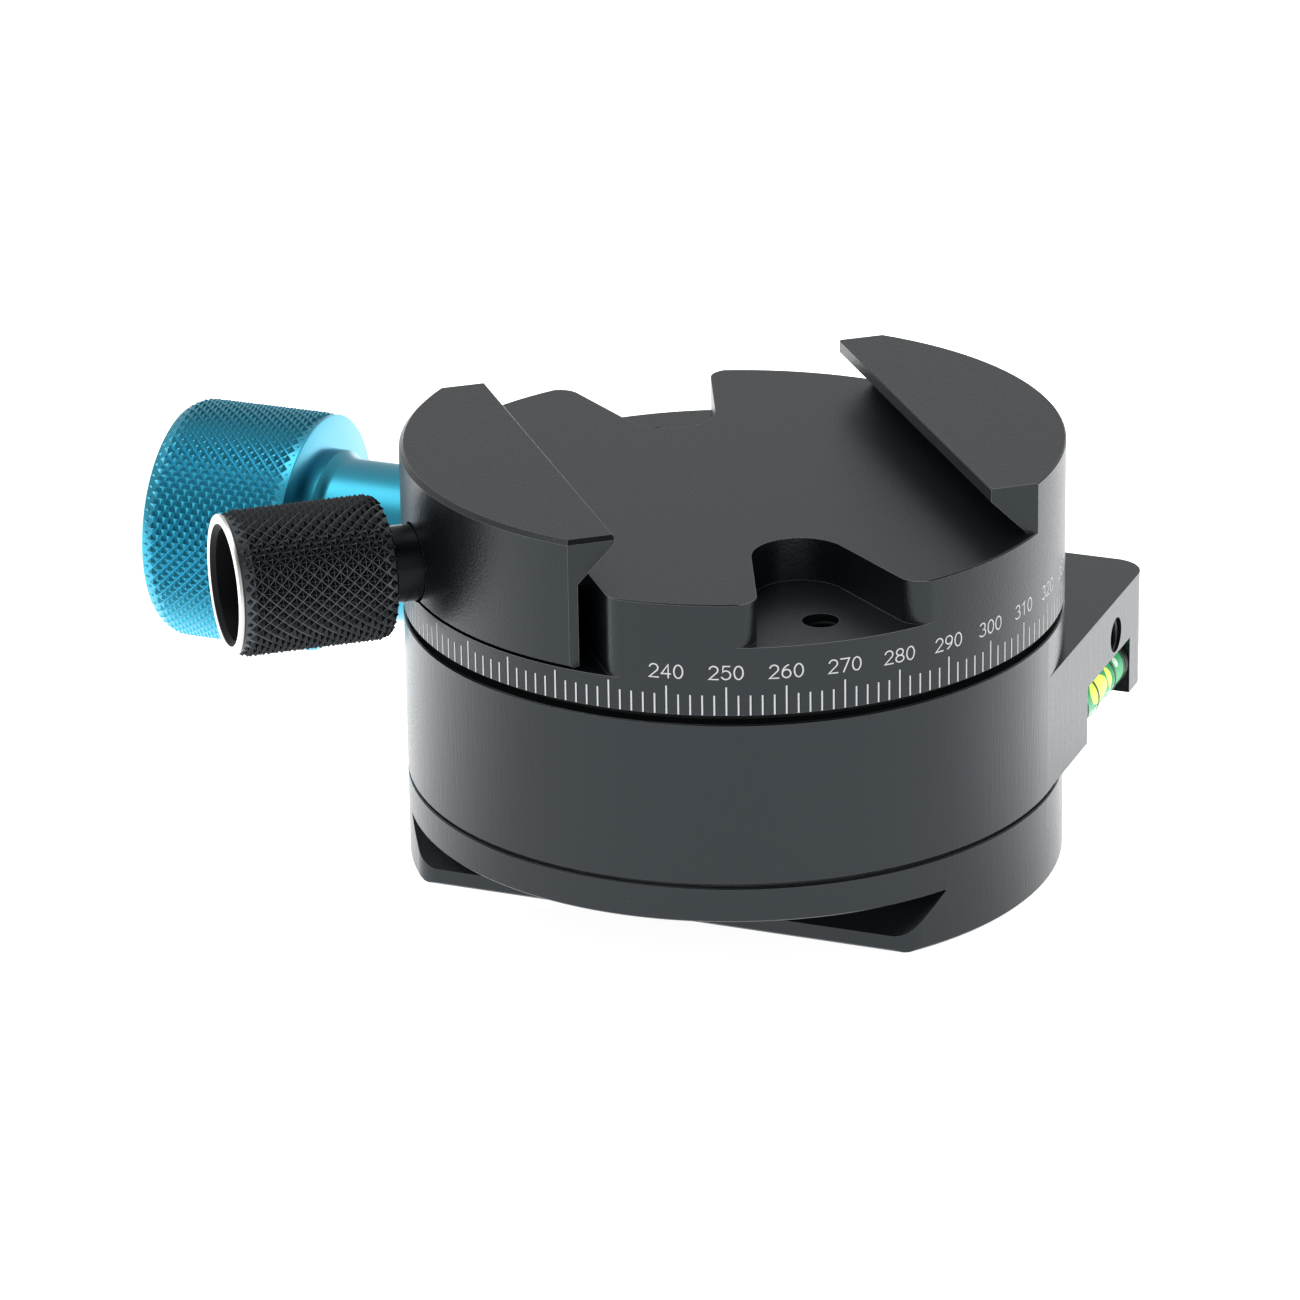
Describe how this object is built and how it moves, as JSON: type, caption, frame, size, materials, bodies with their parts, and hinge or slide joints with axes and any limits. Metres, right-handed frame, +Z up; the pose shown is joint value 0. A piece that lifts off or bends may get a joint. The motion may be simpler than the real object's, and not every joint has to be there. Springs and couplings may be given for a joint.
{
  "type": "panoramic tripod head",
  "caption": "Round panning tripod head: a turning scaled deck with a screw dovetail clamp, on a fixed body with a side pan lock, a spirit level and a dovetail foot.",
  "frame": {"origin": "centre of the foot's bottom face, on the axis of the tripod thread and of the pan", "axes": "+Z up along the pan axis; +Y along the clamp groove; +X from the clamp knob towards the fixed jaw"},
  "size_m": [0.0884, 0.0947, 0.0396],
  "materials": {
    "black_anodised": "black anodised over fine blasting, satin, with thin bright bevels",
    "black_knurled": "black anodised diamond knurl, glossy, with a bright turned end ring",
    "blue_anodised": "light blue anodised, satin, diamond knurled grip",
    "bare_aluminium": "plain turned",
    "bright_steel": "stainless, turned",
    "black_steel": "black oxide",
    "brass": "turned",
    "black_polymer": "black low-friction polymer, matt",
    "white_polymer": "white low-friction polymer, matt",
    "vial_glass": "clear, polished",
    "vial_fluid": "bright green level fluid with a pale yellow bubble"
  },
  "bodies": {
    "body": {"pan_body": "black_anodised", "dovetail_foot": "black_anodised", "foot_screws": "black_steel", "tripod_bush": "bright_steel", "vial_tube": "vial_glass", "vial_fluid": "vial_fluid", "vial_caps": "black_polymer", "upper_thrust_washer": "black_polymer"},
    "deck": {"clamp_deck": "black_anodised", "pan_spindle": "bare_aluminium", "spindle_screws": "black_steel", "retaining_plate": "bare_aluminium", "plate_screws": "black_steel", "lower_thrust_washer": "white_polymer", "wave_washer": "bright_steel", "jaw_guide_pins": "bright_steel", "jaw_springs": "bright_steel"},
    "jaw": {"sliding_jaw": "black_anodised"},
    "clamp_knob": {"clamp_knob": "black_knurled", "clamp_screw": "bright_steel", "clamp_screw_washer": "brass"},
    "lock_slide": {"lock_cotter": "brass", "lock_washer": "white_polymer"},
    "lock_knob": {"lock_knob": "blue_anodised", "lock_screw": "bright_steel"}
  },
  "joints": [
    {"name": "pan", "type": "hinge", "parent": "body", "child": "deck", "pos_m": [0, 0, 0.0242], "axis": [0, 0, 1], "continuous": true},
    {"name": "jaw_slide", "type": "slide", "parent": "deck", "child": "jaw", "axis": [1, 0, 0], "range_m": [-0.002, 0.00175], "deforming": ["jaw_springs"]},
    {"name": "clamp_turn", "type": "hinge", "parent": "jaw", "child": "clamp_knob", "pos_m": [-0.03, 0, 0.0311], "axis": [1, 0, 0], "range_deg": [-905, 793]},
    {"name": "lock_travel", "type": "slide", "parent": "body", "child": "lock_slide", "axis": [0.7848, -0.6198, 0], "range_m": [0, 0.0004]},
    {"name": "lock_turn", "type": "hinge", "parent": "lock_slide", "child": "lock_knob", "pos_m": [-0.0266, 0.047, 0.0163], "axis": [0.7848, -0.6198, 0], "range_deg": [0, 207]}
  ],
  "couplings": [
    {"joint": "clamp_turn", "follows": "jaw_slide", "rad_per_m": 7854},
    {"joint": "lock_turn", "follows": "lock_travel", "rad_per_m": 8976}
  ]
}
